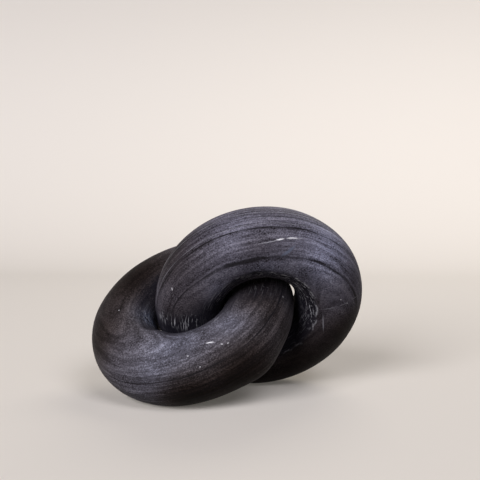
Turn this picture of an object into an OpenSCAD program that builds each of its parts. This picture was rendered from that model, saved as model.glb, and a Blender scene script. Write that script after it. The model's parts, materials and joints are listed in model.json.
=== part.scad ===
// Knot of two stone rings, each carved through the hole of the other, lying on a table.
// Millimetres, +Z up. The origin is on the table, under the middle of the knot.
// Seen from above, +X runs from the front ring's centre to the back ring's centre.

/* [Rings] */
// Thickness of the round stone in each ring
tube_d = 39; // [30:0.5:60]
// Play all round between a ring's hole and the ring that passes through it
link_play = 1; // [0.6:0.1:3]

/* [Link] */
// Gap between the two rings at the middle of the knot
middle_gap = 0.5; // [0.3:0.1:0.6]

/* [Rest on the table] */
// Tilt of the front ring's axis away from upright
front_tilt = 35.5; // [31:0.5:45]
// Depth of the flat ground under each ring, where it stands
flat_depth = 0.4; // [0.2:0.05:0.45]

/* [Hidden] */
$fn = 160;

front_stone = "#4a484d";
back_stone = "#55545b";

// A ring's hole is as wide as the tube of the other ring and the play on both sides of it
tube_r = tube_d / 2;
ring_r = tube_d + link_play;
hole_d = 2 * (ring_r - tube_r);

// The rings stand square to each other, and each passes through the hole of the other.
// Halfway between their centres the two tubes lie side by side, with the middle gap between them.
centre_dist = hole_d - middle_gap;

// A tilted ring's centre is ring_r * sin(tilt) + tube_r above its lowest point. Both rings touch the
// table, so the line between the centres rises by ring_r * (back sine - front sine). That line and the
// two axes are square to each other, so the squares of rise sine and both tilt cosines add up to 1.
// Together these make a quadratic in the back ring's tilt sine, with one positive root.
function back_tilt_sine(front_sine) =
    let (a = centre_dist ^ 2 - ring_r ^ 2,
         b = 2 * ring_r ^ 2 * front_sine,
         c = centre_dist ^ 2 * (front_sine ^ 2 - 1) - ring_r ^ 2 * front_sine ^ 2)
    -2 * c / (b + sqrt(b ^ 2 - 4 * a * c));

back_tilt = asin(back_tilt_sine(sin(front_tilt)));
rise = asin(ring_r * (sin(back_tilt) - sin(front_tilt)) / centre_dist);
roll = atan2(cos(back_tilt), cos(front_tilt));

// Directions of the two axes, and the step from the front ring's centre to the back ring's
front_axis = [-sin(rise) * cos(roll), -sin(roll), cos(rise) * cos(roll)];
back_axis = [-sin(rise) * sin(roll), cos(roll), cos(rise) * sin(roll)];
centre_step = centre_dist * [cos(rise), 0, sin(rise)];

// Half the width of a ring along X, Y and Z, from the direction of its axis
function reach(axis) = [for (c = axis) ring_r * sqrt(1 - c ^ 2) + tube_r];

// Middle of the knot's width and depth, measured from the front ring's centre
function middle(i) =
    let (front = reach(front_axis)[i], back = reach(back_axis)[i])
    (max(front, centre_step[i] + back) + min(-front, centre_step[i] - back)) / 2;

front_centre = [-middle(0), -middle(1), reach(front_axis).z - flat_depth];
// Side of a cube over the table that holds the whole knot
space = 6 * ring_r;

// One ring of round section, lying flat around the origin
module ring() {
    rotate_extrude()
        translate([ring_r, 0])
            circle(tube_r);
}

// Lays a ring of the link on the table, and keeps what is above the ground-off underside.
// In the link the front ring lies flat at the origin and the centres lie along +X.
module laid_on_table() {
    intersection() {
        translate(front_centre)
            rotate([0, -rise, 0])
                rotate([roll, 0, 0])
                    children();
        translate([-space / 2, -space / 2, 0])
            cube(space);
    }
}

// Ring nearest the viewer, which lies lower and further to the left
module front_ring() {
    color(front_stone)
        laid_on_table()
            ring();
}

// Ring that stands more upright behind it, threaded through its hole
module back_ring() {
    color(back_stone)
        laid_on_table()
            translate([centre_dist, 0, 0])
                rotate([90, 0, 0])
                    ring();
}

front_ring();
back_ring();
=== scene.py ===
"""Charcoal marble knot: two carved rings that hang loose in each other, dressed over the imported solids.

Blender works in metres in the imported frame, +Z up. The stone's own sizes are in millimetres, in each
ring's own frame: X along the line from the front ring's centre to the back ring's, Z along the ring's
axis. Round a ring, angles run from X. Round its section they run from the outer rim towards the axis.
"""

import json
import logging
import math
from collections.abc import Mapping
from dataclasses import dataclass
from enum import Enum

import bpy
import numpy as np
from mathutils import Euler, Matrix, Vector, noise


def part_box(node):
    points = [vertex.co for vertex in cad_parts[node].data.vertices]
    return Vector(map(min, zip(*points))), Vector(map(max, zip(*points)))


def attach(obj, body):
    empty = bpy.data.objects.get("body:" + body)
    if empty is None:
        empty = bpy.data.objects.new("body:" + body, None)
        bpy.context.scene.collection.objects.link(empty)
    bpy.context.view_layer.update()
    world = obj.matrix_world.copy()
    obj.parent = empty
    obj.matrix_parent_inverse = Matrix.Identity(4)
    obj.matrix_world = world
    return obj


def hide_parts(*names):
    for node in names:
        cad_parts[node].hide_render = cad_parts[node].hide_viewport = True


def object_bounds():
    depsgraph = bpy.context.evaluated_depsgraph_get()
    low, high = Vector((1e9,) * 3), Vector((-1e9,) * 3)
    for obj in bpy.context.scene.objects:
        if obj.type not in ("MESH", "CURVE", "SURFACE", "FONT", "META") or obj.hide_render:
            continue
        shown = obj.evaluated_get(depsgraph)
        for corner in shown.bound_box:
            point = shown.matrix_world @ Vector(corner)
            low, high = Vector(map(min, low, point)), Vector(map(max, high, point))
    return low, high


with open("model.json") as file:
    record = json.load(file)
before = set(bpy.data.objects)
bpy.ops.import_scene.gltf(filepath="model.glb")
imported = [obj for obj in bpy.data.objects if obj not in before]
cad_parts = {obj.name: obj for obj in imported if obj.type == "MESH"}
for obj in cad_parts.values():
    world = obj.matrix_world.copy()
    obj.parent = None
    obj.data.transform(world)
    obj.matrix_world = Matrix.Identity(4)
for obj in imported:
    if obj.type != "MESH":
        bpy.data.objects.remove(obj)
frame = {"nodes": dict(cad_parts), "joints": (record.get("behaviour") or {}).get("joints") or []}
cad_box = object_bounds()

log = logging.getLogger("marble_knot")

MM = 0.001

Socket = bpy.types.NodeSocket
Tree = bpy.types.NodeTree
Filling = Socket | Vector | Euler | float | tuple[float, ...]

# Sockets of a node that mixes colours: the share of the second colour, the two colours, and the result.
SHARE, FIRST, SECOND, MIXED = 0, 6, 7, 2
# A noise texture runs from 0 to 1 about this value.
NOISE_MEAN = 0.5


def linear(colour: str) -> tuple[float, float, float, float]:
    """Turns an sRGB hex colour into the linear colour that a shader takes.

    Args:
        colour: the colour as "#rrggbb".

    Returns:
        Linear red, green and blue, and an alpha of 1.
    """
    shares = [int(colour[i:i + 2], 16) / 255 for i in (1, 3, 5)]
    red, green, blue = (s / 12.92 if s <= 0.04045 else ((s + 0.055) / 1.055) ** 2.4 for s in shares)
    return red, green, blue, 1.0


def add(
    tree: Tree, kind: str, fill: Mapping[int | str, Filling], out: int | str | None = 0, **settings: object
) -> Socket | None:
    """Adds one node to a material.

    Args:
        tree: the material's node tree.
        kind: Blender's name for the kind of node.
        fill: for each input, a value to set or another node's output to link.
        out: which output to give back, or None for a node that ends the material.
        **settings: properties of the node.

    Returns:
        The chosen output of the new node.
    """
    node = tree.nodes.new(kind)
    for name, value in settings.items():
        setattr(node, name, value)
    for key, value in fill.items():
        if isinstance(value, Socket):
            tree.links.new(value, node.inputs[key])
        else:
            node.inputs[key].default_value = value
    return None if out is None else node.outputs[out]


def noise_at(points: np.ndarray, size: float) -> np.ndarray:
    """Smooth noise from about -1 to 1 at each row of coordinates, with humps as wide as the size."""
    return np.array([noise.noise(p) for p in (points / size).tolist()])


def eased(values: np.ndarray, start: float, end: float) -> np.ndarray:
    """Height at each value of a smooth step, from 0 at the start to 1 at the end."""
    share = np.clip((values - start) / (end - start), 0, 1)
    return share * share * (3 - 2 * share)


@dataclass(frozen=True)
class RingPlace:
    """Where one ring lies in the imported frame, and its two radii, in metres."""

    centre: Vector
    axis: Vector
    link: Vector
    ring_r: float
    tube_r: float

    @property
    def turn(self) -> Matrix:
        """Rotation from the ring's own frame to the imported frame."""
        return Matrix((self.link, self.axis.cross(self.link), self.axis)).transposed()

    def packed(self, points: np.ndarray) -> np.ndarray:
        """Takes points from millimetres in the ring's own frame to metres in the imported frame."""
        return np.array(self.centre) + points * MM @ np.array(self.turn).T

    def spot(self, around: float, tube: float) -> tuple[Vector, Vector]:
        """Finds a place on the ring's skin, in the ring's own frame.

        Args:
            around: angle round the ring, in degrees.
            tube: angle round its section, in degrees.

        Returns:
            The place in millimetres, and the direction out of the stone there.
        """
        a, t = math.radians(around), math.radians(tube)
        radial = Vector((math.cos(a), math.sin(a), 0.0))
        out = radial * math.cos(t) + Vector((0.0, 0.0, math.sin(t)))
        return (radial * self.ring_r + out * self.tube_r) / MM, out

    def distance(self, points: np.ndarray) -> np.ndarray:
        """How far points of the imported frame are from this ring's skin.

        Args:
            points: one row of metres per point.

        Returns:
            The distances in millimetres, negative inside the stone.
        """
        from_centre = points - np.array(self.centre)
        height = from_centre @ np.array(self.axis)
        out = np.sqrt(np.maximum((from_centre ** 2).sum(1) - height ** 2, 0)) - self.ring_r
        return (np.hypot(out, height) - self.tube_r) / MM


def read_places() -> tuple[RingPlace, RingPlace]:
    """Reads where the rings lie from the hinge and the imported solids.

    Returns:
        The places of the front ring and the back ring.
    """
    hinge = frame["joints"][0]
    back_centre = Vector(hinge["pos_m"])
    back_axis = Vector(hinge["axis"]).normalized()
    corners = [v.co - back_centre for v in frame["nodes"]["back_ring"].data.vertices]
    tube_r = max(abs(c.dot(back_axis)) for c in corners)
    ring_r = max(c.cross(back_axis).length for c in corners) - tube_r
    low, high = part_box("front_ring")
    front_centre = (low + high) / 2
    # The ground flat shifts the box's middle in Z, but the line between the centres is square to the hinge.
    front_centre.z += (back_centre - front_centre).dot(back_axis) / back_axis.z
    link = (back_centre - front_centre).normalized()
    front = RingPlace(front_centre, link.cross(back_axis), link, ring_r, tube_r)
    back = RingPlace(back_centre, back_axis, link, ring_r, tube_r)
    return front, back


class Mineral(Enum):
    """What fills a crack or a fleck in the marble, by the colour that it shows."""

    CALCITE = "#e4e3e6"
    CLOUDY_CALCITE = "#a3a2a8"
    BLUE_CALCITE = "#656b7c"
    GRAPHITE = "#1b191b"


@dataclass(frozen=True)
class Vein:
    """A healed crack or a fleck: a thin lens of mineral, which shows as a tapered line on the skin.

    Its ends are angles round the ring and round the section, in degrees, and its width is in millimetres.
    """

    start: tuple[float, float]
    end: tuple[float, float]
    width: float
    mineral: Mineral = Mineral.CALCITE
    strength: float = 1.0

    def lens(self, ring: RingPlace) -> tuple[Vector, Euler, tuple[float, float, float]]:
        """Places the lens in the stone.

        Args:
            ring: the place of the ring that holds it.

        Returns:
            Its middle in millimetres, its turn and its three half widths.
        """
        (first, out), (last, other_out) = ring.spot(*self.start), ring.spot(*self.end)
        along = (last - first).normalized()
        side = (out + other_out).cross(along).normalized()
        half = (last - first).length / 2
        turn = Matrix((along, side, along.cross(side))).transposed().to_euler()
        return (first + last) / 2, turn, (half, self.width / 2, half + self.width)


@dataclass(frozen=True)
class Seam:
    """A thin bed of one mineral in the stone, at a height along the bedding, in millimetres."""

    height: float
    width: float
    strength: float
    mineral: Mineral = Mineral.GRAPHITE


@dataclass(frozen=True)
class Layer:
    """One scale of the bedding: how far it runs and how thick it is, in millimetres, and its contrast."""

    run: float
    thickness: float
    contrast: float


@dataclass(frozen=True)
class RingCoordinates:
    """Outputs of the nodes that say where on the ring a point is, in millimetres."""

    place: Socket
    bed: Socket
    unrolled: Socket


@dataclass(frozen=True)
class CharcoalMarble:
    """Charcoal marble, carved and honed by hand.

    Honing stops short of a mirror, so the stone looks soft and dry with a broad, low sheen. Graphite
    lies in it in thin beds, which run round each ring as dark and grey streaks, and grains of calcite
    make a salt-like speckle. Where no rubbing block reaches, the stone stays rough and dark, with
    whitish bruises from the chisel. That dark is partly the rough stone's own and partly painted shade,
    near the other ring, in the holes and in the grooves.

    Sizes are in millimetres, and the tilt is the slope of the bedding along X and Y.
    """

    name: str
    tilt: tuple[float, float]
    seams: tuple[Seam, ...]
    veins: tuple[Vein, ...]
    dark: str = "#191516"
    grey: str = "#5a5761"
    pale: str = "#8e8b96"
    grain_colour: str = "#a3a2ab"
    bruise: str = "#d8d7dc"
    # Dark that the unhoned ground and the grooves go toward: partly the rough stone's own dark, partly
    # painted shade.
    shaded_groove: str = "#13131c"
    ior: float = 1.5
    # Honed stone is full of fine pits, which take most of its gloss away.
    specular: float = 0.04
    honed_roughness: float = 0.55
    tooled_roughness: float = 0.8
    beds: Layer = Layer(70.0, 5.5, 0.65)
    laminae: Layer = Layer(32.0, 1.8, 0.6)
    streaks: Layer = Layer(14.0, 0.7, 0.6)
    mottling: Layer = Layer(2.6, 1.9, 0.3)
    # Calcite grains are about 0.3 mm, under a pixel, so they are drawn at twice that.
    grains: Layer = Layer(0.8, 0.55, 1.0)
    grain_relief: float = 0.05
    # Sums of the layers at which the stone is dark, grey and pale.
    shades: tuple[float, float, float] = (0.1, 0.5, 1.0)
    # What one step of painted shading does to red, green and blue: the darker it is, the browner, as warm
    # light bounced into painted shade.
    painted_shading_step: tuple[float, float, float] = (1.83, 2.0, 2.19)
    fold_size: float = 45.0
    fold_height: float = 0.9
    # Slow noise parts the stone into patches. Between two levels of it the speckle grows from weak to
    # strong, by its swing either way, and the seams grow from their rest to full strength.
    patch_size: float = 16.0
    speckle_levels: tuple[float, float] = (0.3, 0.7)
    speckle_swing: float = 0.4
    seam_levels: tuple[float, float] = (0.35, 0.55)
    seam_rest: float = 0.3
    seam_waver: float = 1.2
    # Where a seam begins and where it is full, in widths from its middle.
    seam_edges: tuple[float, float] = (0.6, 0.1)
    # Larger pale grains lie singly in cells. Reach and core are shares of the spacing.
    grain_spacing: float = 3.2
    grain_chance: tuple[float, float] = (0.7, 0.76)
    grain_reach: tuple[float, float] = (0.07, 0.15)
    grain_core: float = 0.04
    grain_strength: float = 0.55
    vein_waves_per_mm: float = 0.3
    vein_waver: float = 1.2
    vein_core: float = 0.35
    # Chisel strokes are this long and wide, and whiten the stone between the two levels of their noise.
    stroke_size: tuple[float, float] = (7.0, 0.4)
    stroke_levels: tuple[float, float] = (0.6, 0.68)
    # How far the unhoned ground goes to that dark, partly its own rough dark and partly painted shade near
    # the other ring and in the holes, and how far the grooves go, as painted shade in them.
    rough_and_shade_darkening: float = 0.93
    groove_shade_darkening: float = 0.85

    def material(self, ring: RingPlace) -> bpy.types.Material:
        """Makes the stone for one ring.

        Args:
            ring: the place of the ring that it is cut for.

        Returns:
            The new material.
        """
        made = bpy.data.materials.new(self.name)
        made.use_nodes = True
        tree = made.node_tree
        tree.nodes.clear()
        at = self._coordinates(tree, ring)
        patch = add(tree, "ShaderNodeTexNoise", {
            "Vector": at.place, "Scale": 1 / self.patch_size, "Detail": 2.0})
        tooled = add(tree, "ShaderNodeAttribute", {}, "Fac", attribute_name="tooled")
        colour, grain, streak = self._beds(tree, at, patch)
        colour = self._pale_grains(tree, at, colour)
        # Painted shade and painted light, held on the skin as clouds.
        colour = self._paint_shading(tree, colour)
        colour = self._seams(tree, at, patch, streak, colour)
        colour = self._veins(tree, at, ring, colour)
        # The unhoned stone's own dark, with painted shade near the other ring, in the holes and in the
        # grooves.
        colour = self._tooling(tree, at, colour, tooled)
        roughness = add(tree, "ShaderNodeMapRange", {
            "Value": tooled, "To Min": self.honed_roughness, "To Max": self.tooled_roughness})
        relief = add(tree, "ShaderNodeMath", {0: grain, 1: self.grain_relief}, operation="MULTIPLY")
        bump = add(tree, "ShaderNodeBump", {"Height": relief, "Distance": MM})
        skin = add(tree, "ShaderNodeBsdfPrincipled", {
            "Base Color": colour, "Roughness": roughness, "Normal": bump, "IOR": self.ior,
            "Specular IOR Level": self.specular})
        add(tree, "ShaderNodeOutputMaterial", {"Surface": skin}, None)
        return made

    def _coordinates(self, tree: Tree, ring: RingPlace) -> RingCoordinates:
        """Works out a point's place in the ring, in its bedding and along the unrolled ring.

        Args:
            tree: the material's node tree.
            ring: the place of the ring.

        Returns:
            The three sets of coordinates.
        """
        packed = add(tree, "ShaderNodeTexCoord", {}, "Object")
        own = add(tree, "ShaderNodeMapping", {
            "Vector": packed, "Location": ring.centre, "Rotation": ring.turn.to_euler()},
            vector_type="TEXTURE")
        place = add(tree, "ShaderNodeVectorMath", {0: own, "Scale": 1 / MM}, operation="SCALE")
        x, y, z = add(tree, "ShaderNodeSeparateXYZ", {0: place}).node.outputs
        fold = add(tree, "ShaderNodeTexNoise", {
            "Vector": place, "Scale": 1 / self.fold_size, "Detail": 2.0})
        lift = add(tree, "ShaderNodeMapRange", {
            "Value": fold, "To Min": -self.fold_height, "To Max": self.fold_height})
        across_beds = (-self.tilt[0], -self.tilt[1], 1.0)
        level = add(tree, "ShaderNodeVectorMath", {
            0: place, 1: across_beds}, "Value", operation="DOT_PRODUCT")
        bed = add(tree, "ShaderNodeMath", {0: level, 1: lift}, operation="ADD")
        # The unrolled ring is cut at +90 degrees, where hardly any strokes show.
        back = add(tree, "ShaderNodeMath", {0: y, 1: -1.0}, operation="MULTIPLY")
        angle = add(tree, "ShaderNodeMath", {0: x, 1: back}, operation="ARCTAN2")
        along = add(tree, "ShaderNodeMath", {0: angle, 1: ring.ring_r / MM}, operation="MULTIPLY")
        flat = add(tree, "ShaderNodeCombineXYZ", {0: x, 1: y})
        out = add(tree, "ShaderNodeVectorMath", {0: flat}, "Value", operation="LENGTH")
        unrolled = add(tree, "ShaderNodeCombineXYZ", {0: along, 1: out, 2: z})
        return RingCoordinates(place, bed, unrolled)

    def _beds(self, tree: Tree, at: RingCoordinates, patch: Socket) -> tuple[Socket, Socket, Socket]:
        """Colours the beds, and the laminae, streaks, mottling and speckle in them.

        Args:
            tree: the material's node tree.
            at: where on the ring a point is.
            patch: slow noise, by which the speckle comes and goes.

        Returns:
            The stone's colour, and the noises of the grains and of the streaks.
        """
        x, y, _ = add(tree, "ShaderNodeSeparateXYZ", {0: at.place}).node.outputs
        layered = add(tree, "ShaderNodeCombineXYZ", {0: x, 1: y, 2: at.bed})
        dark_at, grey_at, pale_at = self.shades
        shade: Socket | float = grey_at
        noises: dict[Layer, Socket] = {}
        for layer in (self.beds, self.laminae, self.streaks, self.mottling, self.grains):
            per_mm = (1 / layer.run, 1 / layer.run, 1 / layer.thickness)
            scaled = add(tree, "ShaderNodeVectorMath", {0: layered, 1: per_mm}, operation="MULTIPLY")
            noises[layer] = add(tree, "ShaderNodeTexNoise", {"Vector": scaled, "Scale": 1.0, "Detail": 1.5})
            amount: Socket | float = layer.contrast
            if layer is self.grains:
                low, high = self.speckle_levels
                amount = add(tree, "ShaderNodeMapRange", {
                    "Value": patch, "From Min": low, "From Max": high,
                    "To Min": layer.contrast * (1 - self.speckle_swing),
                    "To Max": layer.contrast * (1 + self.speckle_swing)})
            centred = add(tree, "ShaderNodeMath", {0: noises[layer], 1: NOISE_MEAN}, operation="SUBTRACT")
            shade = add(tree, "ShaderNodeMath", {0: centred, 1: amount, 2: shade}, operation="MULTIPLY_ADD")
        to_grey = add(tree, "ShaderNodeMapRange", {
            "Value": shade, "From Min": dark_at, "From Max": grey_at})
        to_pale = add(tree, "ShaderNodeMapRange", {
            "Value": shade, "From Min": grey_at, "From Max": pale_at})
        stone = add(tree, "ShaderNodeMix", {
            SHARE: to_grey, FIRST: linear(self.dark), SECOND: linear(self.grey)}, MIXED, data_type="RGBA")
        stone = add(tree, "ShaderNodeMix", {
            SHARE: to_pale, FIRST: stone, SECOND: linear(self.pale)}, MIXED, data_type="RGBA")
        return stone, noises[self.grains], noises[self.streaks]

    def _pale_grains(self, tree: Tree, at: RingCoordinates, colour: Socket) -> Socket:
        """Scatters single larger grains of calcite over the stone.

        Args:
            tree: the material's node tree.
            at: where on the ring a point is.
            colour: the stone's colour so far.

        Returns:
            The colour with the grains.
        """
        cells = add(tree, "ShaderNodeTexVoronoi", {"Vector": at.place, "Scale": 1 / self.grain_spacing})
        distance, draws = (cells.node.outputs[name] for name in ("Distance", "Color"))
        chance, size, _ = add(tree, "ShaderNodeSeparateColor", {0: draws}).node.outputs
        none_at, full_at = self.grain_chance
        chosen = add(tree, "ShaderNodeMapRange", {
            "Value": chance, "From Min": none_at, "From Max": full_at})
        small, large = self.grain_reach
        reach = add(tree, "ShaderNodeMath", {0: size, 1: large - small, 2: small}, operation="MULTIPLY_ADD")
        inside = add(tree, "ShaderNodeMapRange", {
            "Value": distance, "From Min": reach, "From Max": self.grain_core,
            "To Max": self.grain_strength})
        dot = add(tree, "ShaderNodeMath", {0: inside, 1: chosen}, operation="MULTIPLY")
        return add(tree, "ShaderNodeMix", {
            SHARE: dot, FIRST: colour, SECOND: linear(self.grain_colour)}, MIXED, data_type="RGBA")

    def _paint_shading(self, tree: Tree, colour: Socket) -> Socket:
        """Paints shade and light on the stone, as the clouds of its ring: darker below 0 and paler above.

        Args:
            tree: the material's node tree.
            colour: the stone's colour so far.

        Returns:
            The colour with the clouds.
        """
        painted_shading = add(tree, "ShaderNodeAttribute", {}, "Fac", attribute_name="painted_shading")
        shading_tints = [
            add(tree, "ShaderNodeMath", {0: step, 1: painted_shading}, operation="POWER") for step in self.painted_shading_step]
        shading_tint = add(tree, "ShaderNodeCombineColor", dict(enumerate(shading_tints)))
        return add(tree, "ShaderNodeMix", {
            SHARE: 1.0, FIRST: colour, SECOND: shading_tint}, MIXED, data_type="RGBA", blend_type="MULTIPLY")

    def _seams(
        self, tree: Tree, at: RingCoordinates, patch: Socket, streak: Socket, colour: Socket
    ) -> Socket:
        """Draws the seams that follow the bedding and come and go along it.

        Args:
            tree: the material's node tree.
            at: where on the ring a point is.
            patch: slow noise, by which the seams come and go.
            streak: fine noise, by which they waver.
            colour: the stone's colour so far.

        Returns:
            The colour with the seams.
        """
        bed = add(tree, "ShaderNodeMath", {
            0: streak, 1: self.seam_waver, 2: at.bed}, operation="MULTIPLY_ADD")
        low, high = self.seam_levels
        begin, full = self.seam_edges
        for seam in self.seams:
            level = seam.height + self.seam_waver * NOISE_MEAN
            off = add(tree, "ShaderNodeMath", {0: bed, 1: level}, operation="SUBTRACT")
            gap = add(tree, "ShaderNodeMath", {0: off}, operation="ABSOLUTE")
            held = add(tree, "ShaderNodeMapRange", {
                "Value": patch, "From Min": low, "From Max": high,
                "To Min": seam.strength * self.seam_rest, "To Max": seam.strength})
            mask = add(tree, "ShaderNodeMapRange", {
                "Value": gap, "From Min": seam.width * begin, "From Max": seam.width * full,
                "To Max": held}, interpolation_type="SMOOTHSTEP")
            colour = add(tree, "ShaderNodeMix", {
                SHARE: mask, FIRST: colour, SECOND: linear(seam.mineral.value)}, MIXED, data_type="RGBA")
        return colour

    def _veins(self, tree: Tree, at: RingCoordinates, ring: RingPlace, colour: Socket) -> Socket:
        """Draws the veins and flecks, each a lens of mineral with a wavering edge.

        Args:
            tree: the material's node tree.
            at: where on the ring a point is.
            ring: the place of the ring.
            colour: the stone's colour so far.

        Returns:
            The colour with the veins.
        """
        waver = add(tree, "ShaderNodeTexNoise", {
            "Vector": at.place, "Scale": self.vein_waves_per_mm, "Detail": 3.0}, "Color")
        shift = add(tree, "ShaderNodeVectorMath", {0: waver, 1: (NOISE_MEAN,) * 3}, operation="SUBTRACT")
        moved = add(tree, "ShaderNodeVectorMath", {
            0: shift, 1: (self.vein_waver,) * 3, 2: at.place}, operation="MULTIPLY_ADD")
        for vein in self.veins:
            middle, turn, halves = vein.lens(ring)
            inside = add(tree, "ShaderNodeMapping", {
                "Vector": moved, "Location": middle, "Rotation": turn, "Scale": halves},
                vector_type="TEXTURE")
            depth = add(tree, "ShaderNodeVectorMath", {0: inside}, "Value", operation="LENGTH")
            mask = add(tree, "ShaderNodeMapRange", {
                "Value": depth, "From Min": 1.0, "From Max": self.vein_core, "To Max": vein.strength},
                interpolation_type="SMOOTHSTEP")
            colour = add(tree, "ShaderNodeMix", {
                SHARE: mask, FIRST: colour, SECOND: linear(vein.mineral.value)}, MIXED, data_type="RGBA")
        return colour

    def _tooling(self, tree: Tree, at: RingCoordinates, colour: Socket, tooled: Socket) -> Socket:
        """Darkens the unhoned stone, partly with painted shade, paints shade in its grooves and whitens the
        bruises.

        Args:
            tree: the material's node tree.
            at: where on the ring a point is.
            colour: the stone's colour so far.
            tooled: how far the skin was left unhoned.

        Returns:
            The finished colour.
        """
        length, width = self.stroke_size
        per_mm = (1 / length, 1 / width, 1 / width)
        scaled = add(tree, "ShaderNodeVectorMath", {0: at.unrolled, 1: per_mm}, operation="MULTIPLY")
        stroke = add(tree, "ShaderNodeTexNoise", {"Vector": scaled, "Scale": 1.0, "Detail": 1.0})
        force, shaded_groove, bruised = (
            add(tree, "ShaderNodeAttribute", {}, "Fac", attribute_name=name)
            for name in ("force", "shaded_groove", "bruised"))
        # Painted shade near the other ring, in the holes and in the grooves, over the unhoned stone's own
        # dark.
        dull_and_shade = add(tree, "ShaderNodeMath", {0: tooled, 1: self.rough_and_shade_darkening}, operation="MULTIPLY")
        cut = add(tree, "ShaderNodeMath", {0: shaded_groove, 1: self.groove_shade_darkening}, operation="MULTIPLY")
        shaded = add(tree, "ShaderNodeMath", {0: dull_and_shade, 1: cut}, operation="MAXIMUM")
        colour = add(tree, "ShaderNodeMix", {
            SHARE: shaded, FIRST: colour, SECOND: linear(self.shaded_groove)}, MIXED, data_type="RGBA")
        low, high = self.stroke_levels
        struck = add(tree, "ShaderNodeMapRange", {
            "Value": stroke, "From Min": low, "From Max": high, "To Max": force})
        whitened = add(tree, "ShaderNodeMath", {0: struck, 1: bruised}, operation="MAXIMUM")
        return add(tree, "ShaderNodeMix", {
            SHARE: whitened, FIRST: colour, SECOND: linear(self.bruise)}, MIXED, data_type="RGBA")


@dataclass(frozen=True)
class Spot:
    """A soft round place on a ring's skin: its angles in degrees, reach in millimetres and amount."""

    around: float
    tube: float
    reach: float
    amount: float

    def share(self, ring: RingPlace, points: np.ndarray) -> np.ndarray:
        """What the spot does at points in the ring's own frame: most at its middle, less further out."""
        gap = np.linalg.norm(points - np.array(ring.spot(self.around, self.tube)[0]), axis=1)
        return self.amount * np.exp(-(gap / self.reach) ** 2)


@dataclass(frozen=True)
class ChiselMarks:
    """Strokes and chips left inside the holes and near the other ring, where no rubbing block goes.

    Sizes are in millimetres and angles in degrees. The honed skin ends at the hole's angle round the
    section, which strays most at one angle round the ring. Past it and near the other ring a share of the
    skin is left rough. The strength is that of the marks between the places that the chisel hit hardest.
    Levels are those of the noise, between which a mark grows from nothing to its full depth.
    """

    reach: float
    hole_fade: float
    # Shares of the skin left rough near the other ring and in the hole. The stone is darkened by the same
    # shares, partly with painted shade.
    near_share: float = 0.92
    hole_share: float = 0.7
    hole_angle: float = 122.0
    stray: float = 0.0
    stray_around: float = 45.0
    raggedness: float = 1.0
    ragged_size: float = 5.0
    fray: float = 0.5
    fray_size: float = 1.5
    fade: float = 6.0
    strength: float = 0.06
    stroke_length: float = 8.0
    stroke_width: float = 0.9
    stroke_depth: float = 0.4
    stroke_sway: float = 0.8
    sway_size: float = 3.0
    stroke_levels: tuple[float, float] = (0.0, 0.45)
    chip_size: float = 1.0
    chip_depth: float = 0.35
    chip_levels: tuple[float, float] = (0.5, 0.7)
    arris: float = 0.0
    arris_width: float = 0.3
    arris_size: float = 6.0
    arris_levels: tuple[float, float] = (-0.1, 0.5)


@dataclass(frozen=True)
class RoughSkin:
    """What the chisel left at each corner of a ring's skin, from 0 to 1."""

    tooled: np.ndarray
    force: np.ndarray
    shaded_groove: np.ndarray
    chips: np.ndarray
    bruised: np.ndarray


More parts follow.
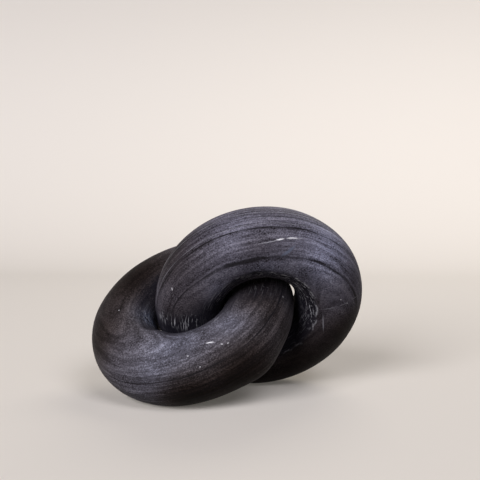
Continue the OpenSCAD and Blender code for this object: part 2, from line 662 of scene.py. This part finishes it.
@dataclass
class StoneRing:
    """One ring of the knot: its carved skin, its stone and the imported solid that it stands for."""

    name: str
    node: str
    slot: str
    place: RingPlace
    other: RingPlace
    stone: CharcoalMarble
    marks: ChiselMarks
    hard_hit: tuple[Spot, ...]
    # Painted shade and painted light on the skin, in steps.
    painted_shading_spots: tuple[Spot, ...]
    swells: tuple[Spot, ...] = ()
    around_steps: int = 480
    tube_steps: int = 200
    inner_crowding: float = 0.45
    hand_wave: float = 0.2
    wave_size: float = 22.0

    def build(self) -> bpy.types.Object:
        """Models the ring and fits it to the frame.

        Returns:
            The ring's object.
        """
        corners, shares = self._skin()
        mesh = bpy.data.meshes.new(self.name)
        mesh.from_pydata(corners.tolist(), [], self._quads().tolist())
        for name, values in shares.items():
            mesh.attributes.new(name, "FLOAT", "POINT").data.foreach_set("value", values.astype(np.float32))
        mesh.shade_smooth()
        ring = bpy.data.objects.new(self.name, mesh)
        bpy.context.scene.collection.objects.link(ring)
        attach(ring, self.node)
        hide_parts(self.node)
        return ring

    def dress(self, ring: bpy.types.Object) -> None:
        """Gives the ring its stone."""
        ring.data.materials.append(self.stone.material(self.place))

    def _skin(self) -> tuple[np.ndarray, dict[str, np.ndarray]]:
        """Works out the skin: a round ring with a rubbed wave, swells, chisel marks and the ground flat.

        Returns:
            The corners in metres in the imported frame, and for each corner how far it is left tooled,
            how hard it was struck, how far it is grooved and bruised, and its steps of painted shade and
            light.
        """
        around, tube = self._angles()
        radial = np.stack([np.cos(around), np.sin(around), np.zeros_like(around)], 1)
        out = radial * np.cos(tube)[:, None]
        out[:, 2] = np.sin(tube)
        own = (radial * self.place.ring_r + out * self.place.tube_r) / MM
        rough = self._roughen(around, tube, own)
        height = -self.hand_wave * (1 - noise_at(own, self.wave_size)) * (1 - rough.tooled)
        height -= np.maximum(self.marks.stroke_depth * rough.shaded_groove, self.marks.chip_depth * rough.chips)
        height += self._total(self.swells, own)
        corners = self.place.packed(own + out * height[:, None])
        corners[:, 2] = np.maximum(corners[:, 2], cad_box[0].z)
        return corners, {
            "tooled": rough.tooled, "force": rough.force, "shaded_groove": rough.shaded_groove, "bruised": rough.bruised,
            "painted_shading": self._total(self.painted_shading_spots, own)}

    def _angles(self) -> tuple[np.ndarray, np.ndarray]:
        """Spreads the corners over the skin, closer together towards the hole.

        Returns:
            Each corner's angle round the ring and round its section, in radians.
        """
        steps = np.arange(self.tube_steps) * 2 * np.pi / self.tube_steps
        tube = np.tile(steps + self.inner_crowding * np.sin(steps), self.around_steps)
        # The first corners lie at the cut of the unrolled ring, at +90 degrees or -1.5 half turns.
        half_turns = np.arange(self.around_steps) / self.around_steps * 2 - 1.5
        return np.repeat(half_turns * np.pi, self.tube_steps), tube

    def _roughen(self, around: np.ndarray, tube: np.ndarray, own: np.ndarray) -> RoughSkin:
        """Works out where the skin was left unhoned, and the strokes and chips there.

        Args:
            around: each corner's angle round the ring, in radians.
            tube: its angle round the section, in radians.
            own: its place on the round ring, in millimetres in the ring's own frame.

        Returns:
            What the chisel left at each corner.
        """
        marks = self.marks
        ring_r, tube_r = self.place.ring_r / MM, self.place.tube_r / MM
        unrolled = np.stack([around * ring_r, np.cos(tube) * tube_r, np.sin(tube) * tube_r], 1)
        ragged = noise_at(unrolled, marks.ragged_size) + marks.fray * noise_at(unrolled, marks.fray_size)
        ragged *= marks.raggedness
        from_other = self.other.distance(self.place.packed(own)) - marks.reach - ragged
        stray = marks.stray * np.cos(around - math.radians(marks.stray_around))
        edge = np.radians(marks.hole_angle + stray)
        past_hole = (np.abs(tube - np.pi) - np.pi + edge) * tube_r - ragged
        near_other = 1 - eased(from_other, -marks.fade, marks.fade)
        in_hole = 1 - eased(past_hole, -marks.hole_fade, marks.hole_fade)
        tooled = np.maximum(marks.hole_share * in_hole, marks.near_share * near_other)
        hit = np.minimum(self._total(self.hard_hit, own), 1)
        force = tooled * np.maximum(hit, marks.strength)
        stroke = np.array([marks.stroke_length, marks.stroke_width, marks.stroke_width])
        swayed = unrolled + marks.stroke_sway * noise_at(unrolled, marks.sway_size)[:, None]
        shaded_groove = force * eased(noise_at(swayed / stroke, 1.0), *marks.stroke_levels)
        chips = force * eased(noise_at(unrolled, marks.chip_size), *marks.chip_levels)
        arris = np.exp(-(past_hole / marks.arris_width) ** 2)
        arris *= eased(noise_at(unrolled, marks.arris_size), *marks.arris_levels)
        bruised = np.maximum(chips, np.maximum(marks.arris, hit) * arris)
        return RoughSkin(tooled, force, shaded_groove, chips, bruised)

    def _total(self, spots: tuple[Spot, ...], points: np.ndarray) -> np.ndarray:
        """Adds up what several spots do at points in the ring's own frame."""
        return sum((spot.share(self.place, points) for spot in spots), start=np.zeros(len(points)))

    def _quads(self) -> np.ndarray:
        """Joins the skin's corners into four-sided faces, all facing outwards.

        Returns:
            One row of four corner numbers per face.
        """
        index = np.arange(self.around_steps * self.tube_steps).reshape(self.around_steps, self.tube_steps)
        onward = np.roll(index, -1, axis=0)
        corners = [index, onward, np.roll(onward, -1, axis=1), np.roll(index, -1, axis=1)]
        return np.stack(corners, -1).reshape(-1, 4)


@dataclass(frozen=True)
class Lamp:
    """A soft square lamp, aimed at the knot.

    Bearing 0 is the viewer's side and 90 is the right, and the height is an angle too, in degrees. The
    distance and the lamp's size are in metres.
    """

    name: str
    bearing: float
    height: float
    distance: float
    size: float
    watts: float
    colour: str

    def hang(self, target: Vector) -> None:
        """Puts the lamp in the scene.

        Args:
            target: the point that it is aimed at.
        """
        b, h = math.radians(self.bearing), math.radians(self.height)
        towards = Vector((math.sin(b) * math.cos(h), -math.cos(b) * math.cos(h), math.sin(h)))
        light = bpy.data.lights.new(self.name, "AREA")
        light.size = self.size
        light.energy = self.watts
        light.color = linear(self.colour)[:3]
        lamp = bpy.data.objects.new(self.name, light)
        lamp.location = target + towards * self.distance
        lamp.rotation_euler = towards.to_track_quat("Z", "Y").to_euler()
        bpy.context.scene.collection.objects.link(lamp)


@dataclass
class Studio:
    """Pale floor with a swept backdrop, soft lamps and the camera.

    Sizes are in metres and angles in degrees, and the lens is in millimetres.
    """

    floor_colour: str = "#dad4cb"
    # The knot is lit by the lamps more than by the floor, so light that bounces off the floor is held down.
    bounce_colour: str = "#4c463f"
    floor_glow: float = 0.12
    air_colour: str = "#f0dcc8"
    air_strength: float = 0.05
    horizon_colour: str = "#d6cfc8"
    floor_drop: float = 0.0002
    half_width: float = 3.0
    front: float = -1.6
    bend_start: float = 0.55
    bend_radius: float = 0.45
    top: float = 2.2
    bend_steps: int = 24
    lens: float = 60.0
    nearest_seen: float = 0.01
    camera_place: tuple[float, float, float] = (0.0273, -0.455, 0.1214)
    camera_tilt: float = 85.72
    camera_turn: float = 2.43
    lamps: tuple[Lamp, ...] = (
        Lamp("key_lamp", -30.0, 26.0, 4.8, 2.4, 232.0, "#f8f7fe"),
        Lamp("side_lamp", 35.0, 48.0, 4.8, 2.4, 88.0, "#f6f6ff"),
        Lamp("back_lamp", 160.0, 40.0, 1.2, 0.8, 6.0, "#fffaf2"),
    )

    def build(self) -> None:
        """Sets up everything that isn't the knot."""
        self._sweep()
        self._air()
        self._camera()
        for lamp in self.lamps:
            lamp.hang((cad_box[0] + cad_box[1]) / 2)
        bpy.context.scene.view_settings.view_transform = "Standard"

    def _sweep(self) -> None:
        """Makes the floor, which bends up into the backdrop behind the knot."""
        turns = [math.pi / 2 * i / self.bend_steps for i in range(self.bend_steps + 1)]
        line = [(self.front, 0.0)]
        line += [(self.bend_start + self.bend_radius * math.sin(t), self.bend_radius * (1 - math.cos(t)))
                 for t in turns]
        line.append((self.bend_start + self.bend_radius, self.top))
        points = [(side * self.half_width, y, z - self.floor_drop) for y, z in line for side in (-1, 1)]
        faces = [(2 * i, 2 * i + 1, 2 * i + 3, 2 * i + 2) for i in range(len(line) - 1)]
        mesh = bpy.data.meshes.new("studio_sweep")
        mesh.from_pydata(points, [], faces)
        mesh.shade_smooth()
        sweep = bpy.data.objects.new("studio_sweep", mesh)
        bpy.context.scene.collection.objects.link(sweep)
        mesh.materials.append(self._paper())

    def _paper(self) -> bpy.types.Material:
        """Makes the sweep's matt paper, which looks paler than the light that it throws on the knot.

        Returns:
            The new material.
        """
        paper = bpy.data.materials.new("matt_paper")
        paper.use_nodes = True
        tree = paper.node_tree
        tree.nodes.clear()
        rays = add(tree, "ShaderNodeLightPath", {}).node.outputs
        seen = rays["Is Camera Ray"]
        for kind in ("Is Glossy Ray", "Is Transmission Ray"):
            seen = add(tree, "ShaderNodeMath", {0: seen, 1: rays[kind]}, operation="MAXIMUM")
        bounced, shown = linear(self.bounce_colour), linear(self.floor_colour)
        colour = add(tree, "ShaderNodeMix", {
            SHARE: seen, FIRST: bounced, SECOND: shown}, MIXED, data_type="RGBA")
        matt = add(tree, "ShaderNodeBsdfDiffuse", {"Color": colour})
        glow = add(tree, "ShaderNodeMath", {0: seen, 1: self.floor_glow}, operation="MULTIPLY")
        shine = add(tree, "ShaderNodeEmission", {"Color": shown, "Strength": glow})
        skin = add(tree, "ShaderNodeAddShader", {0: matt, 1: shine})
        add(tree, "ShaderNodeOutputMaterial", {"Surface": skin}, None)
        return paper

    def _air(self) -> None:
        """Lights the scene evenly from all round, with a pale horizon where the sweep ends."""
        world = bpy.data.worlds.new("studio_air")
        world.use_nodes = True
        tree = world.node_tree
        tree.nodes.clear()
        seen = add(tree, "ShaderNodeLightPath", {}, "Is Camera Ray")
        air = add(tree, "ShaderNodeBackground", {
            "Color": linear(self.air_colour), "Strength": self.air_strength})
        horizon = add(tree, "ShaderNodeBackground", {"Color": linear(self.horizon_colour)})
        sky = add(tree, "ShaderNodeMixShader", {0: seen, 1: air, 2: horizon})
        add(tree, "ShaderNodeOutputWorld", {"Surface": sky}, None)
        bpy.context.scene.world = world

    def _camera(self) -> None:
        """Puts the camera at the photograph's viewing angle."""
        camera = bpy.data.cameras.new("camera")
        camera.lens = self.lens
        camera.clip_start = self.nearest_seen
        eye = bpy.data.objects.new("camera", camera)
        eye.location = self.camera_place
        eye.rotation_euler = Euler((math.radians(self.camera_tilt), 0.0, math.radians(self.camera_turn)))
        bpy.context.scene.collection.objects.link(eye)
        bpy.context.scene.camera = eye


FRONT_STONE = CharcoalMarble(
    name="honed_charcoal_marble_front",
    tilt=(0.08, -0.075),
    seams=(
        Seam(6.3, 0.7, 1.0), Seam(3.4, 0.5, 0.5), Seam(9.4, 0.5, 0.5), Seam(-1.0, 0.6, 0.6),
        Seam(-3.5, 5.0, 0.3), Seam(12.6, 0.4, 0.4), Seam(-8.5, 0.7, 0.6), Seam(16.4, 0.3, 0.35),
    ),
    veins=(
        Vein((-77.5, 73.5), (-71.5, 67.5), 1.0),
        Vein((-69.5, 60.5), (-67.5, 58.0), 0.8, strength=0.6),
        Vein((-66.0, 56.0), (-64.5, 55.0), 0.8, strength=0.6),
        Vein((-91.0, 63.0), (-89.5, 62.0), 0.8, strength=0.7),
        Vein((-85.5, 41.5), (-84.5, 40.5), 0.8, strength=0.6),
        Vein((178.5, 99.0), (180.0, 98.0), 0.9, strength=0.7),
        Vein((-17.0, 31.0), (-15.5, 32.0), 0.9, strength=0.7),
        Vein((-63.0, 109.0), (-53.5, 111.5), 1.0, Mineral.CLOUDY_CALCITE, 0.9),
        Vein((-164.0, 152.0), (-152.0, 160.0), 1.8),
        Vein((-179.0, 139.0), (-162.0, 153.0), 2.0, Mineral.GRAPHITE),
        Vein((-50.0, 51.0), (-20.0, 24.0), 0.8, Mineral.GRAPHITE, 0.6),
    ),
    dark="#181413",
    grey="#4d4a50",
    pale="#8a8790",
    beds=Layer(70.0, 5.5, 0.5),
    laminae=Layer(32.0, 1.8, 0.55),
    grains=Layer(0.8, 0.55, 0.95),
)

BACK_STONE = CharcoalMarble(
    name="honed_charcoal_marble_back",
    tilt=(-0.015, 0.115),
    seams=(
        Seam(-3.5, 1.0, 1.0), Seam(-14.2, 0.8, 0.9), Seam(3.2, 1.4, 0.6), Seam(5.8, 0.5, 0.5),
        Seam(8.0, 0.6, 0.6), Seam(10.2, 0.5, 0.5), Seam(0.6, 0.5, 0.35), Seam(-9.6, 0.4, 0.35),
        Seam(6.9, 0.5, 0.5, Mineral.CLOUDY_CALCITE), Seam(-1.4, 0.4, 0.3, Mineral.CLOUDY_CALCITE),
    ),
    veins=(
        Vein((-82.0, -57.5), (-62.0, -48.5), 0.6, Mineral.CLOUDY_CALCITE, 0.8),
        Vein((-69.0, -52.0), (-63.0, -49.0), 1.0),
        Vein((-63.0, -48.5), (-55.0, -44.0), 1.1),
        Vein((-64.0, -49.0), (-50.5, -42.0), 0.5, Mineral.CLOUDY_CALCITE, 0.8),
        Vein((-65.5, -80.0), (-55.5, -55.0), 2.4, Mineral.BLUE_CALCITE, 0.8),
        Vein((-0.5, -78.5), (1.0, -77.5), 1.0, strength=0.8),
        Vein((5.5, -69.0), (6.5, -68.5), 0.9, strength=0.7),
        Vein((-142.0, -44.5), (-140.0, -41.0), 1.1, strength=0.7),
        Vein((8.0, -116.0), (6.0, -84.0), 0.7, Mineral.CLOUDY_CALCITE, 0.4),
        Vein((6.0, -86.0), (5.0, -62.0), 0.6, Mineral.CLOUDY_CALCITE, 0.5),
        Vein((5.5, -63.0), (6.0, -40.0), 0.6, Mineral.CLOUDY_CALCITE, 0.45),
        Vein((10.0, -110.0), (35.5, -100.5), 1.0, Mineral.CLOUDY_CALCITE, 0.4),
        Vein((-144.5, 4.0), (-156.5, -15.5), 0.8, Mineral.CLOUDY_CALCITE, 0.7),
    ),
    painted_shading_step=(1.87, 2.0, 2.13),
)

FRONT_MARKS = ChiselMarks(reach=11.0, hole_fade=5.0, near_share=0.6, strength=0.03)
BACK_MARKS = ChiselMarks(reach=9.5, hole_fade=1.2, hole_angle=115.0, stray=6.0, fade=5.5, arris=0.15)

# Carving left the front ring fuller at its lower right, and at two places beside the other ring.
FRONT_SWELLS = (
    Spot(-47.0, -5.0, 14.0, 1.2), Spot(-54.0, -30.0, 12.0, 1.6), Spot(-125.0, 130.0, 6.0, 1.3),
    Spot(-6.0, 16.0, 8.0, 1.0),
)

# Where the chisel hit hardest, as shares of its full force.
FRONT_HARD_HIT = (
    Spot(-12.0, 75.0, 9.0, 0.25), Spot(-58.0, 110.0, 5.0, 0.5), Spot(-175.0, 150.0, 6.0, 0.6),
)
BACK_HARD_HIT = (
    Spot(-15.0, -128.0, 8.0, 0.7), Spot(10.0, -128.0, 6.0, 0.7), Spot(30.0, -128.0, 6.0, 0.4),
    Spot(-162.0, -35.0, 4.0, 1.0), Spot(-162.0, -60.0, 4.0, 0.7), Spot(-162.0, -85.0, 5.0, 0.9),
    Spot(-125.0, -115.0, 9.0, 0.7), Spot(-85.0, -110.0, 9.0, 0.9), Spot(-60.0, -112.0, 8.0, 0.9),
    Spot(-38.0, -118.0, 7.0, 0.8),
)

# Painted shade and painted light, laid on as clouds in the stone, in steps: darker below 0 and paler above.
FRONT_PAINTED_SHADING = (
    Spot(-70.0, -10.0, 16.0, -3.6), Spot(-95.0, -15.0, 14.0, -4.8), Spot(-55.0, 15.0, 14.0, -1.3),
    Spot(-30.0, 30.0, 14.0, -1.2), Spot(135.0, 90.0, 26.0, -3.2), Spot(-165.0, 50.0, 16.0, -2.2),
    Spot(-30.0, 90.0, 10.0, -0.7), Spot(-95.0, 90.0, 18.0, 0.8), Spot(-110.0, 35.0, 12.0, 0.6),
    Spot(-55.0, 75.0, 10.0, 0.8), Spot(-14.0, 75.0, 12.0, -2.0), Spot(175.0, 150.0, 12.0, 1.8),
    Spot(-170.0, 160.0, 8.0, 1.5), Spot(175.0, 75.0, 14.0, -0.5),
)
BACK_PAINTED_SHADING = (
    Spot(70.0, -80.0, 26.0, -4.0), Spot(30.0, -60.0, 14.0, -2.7), Spot(110.0, -70.0, 14.0, -2.0),
    Spot(-130.0, -5.0, 18.0, -1.9), Spot(-140.0, -90.0, 11.0, -0.8), Spot(-162.0, -60.0, 13.0, -1.7),
    Spot(-80.0, -65.0, 10.0, -0.8), Spot(-5.0, -55.0, 9.0, -0.4), Spot(-35.0, -35.0, 18.0, 1.0),
    Spot(-75.0, -105.0, 10.0, 1.0), Spot(-35.0, -80.0, 12.0, 0.5), Spot(-90.0, -40.0, 14.0, 0.5),
    Spot(0.0, -140.0, 10.0, -1.5), Spot(-125.0, -118.0, 10.0, 1.2),
)


def main() -> None:
    """Builds the knot and the studio in order."""
    logging.basicConfig(level=logging.INFO, format="%(name)s: %(message)s")
    front, back = read_places()
    rings = (
        StoneRing(
            "front_ring_marble", "front_ring", "front_marble", front, back, FRONT_STONE, FRONT_MARKS,
            FRONT_HARD_HIT, FRONT_PAINTED_SHADING, FRONT_SWELLS),
        StoneRing(
            "back_ring_marble", "back_ring", "back_marble", back, front, BACK_STONE, BACK_MARKS,
            BACK_HARD_HIT, BACK_PAINTED_SHADING),
    )
    for ring in rings:
        made = ring.build()
        ring.dress(made)
        log.info("%s: %d faces, %s", made.name, len(made.data.polygons), ring.stone.name)
    studio = Studio()
    studio.build()
    log.info("studio: floor, %d lamps and camera", len(studio.lamps))


if __name__ == "__main__":
    main()
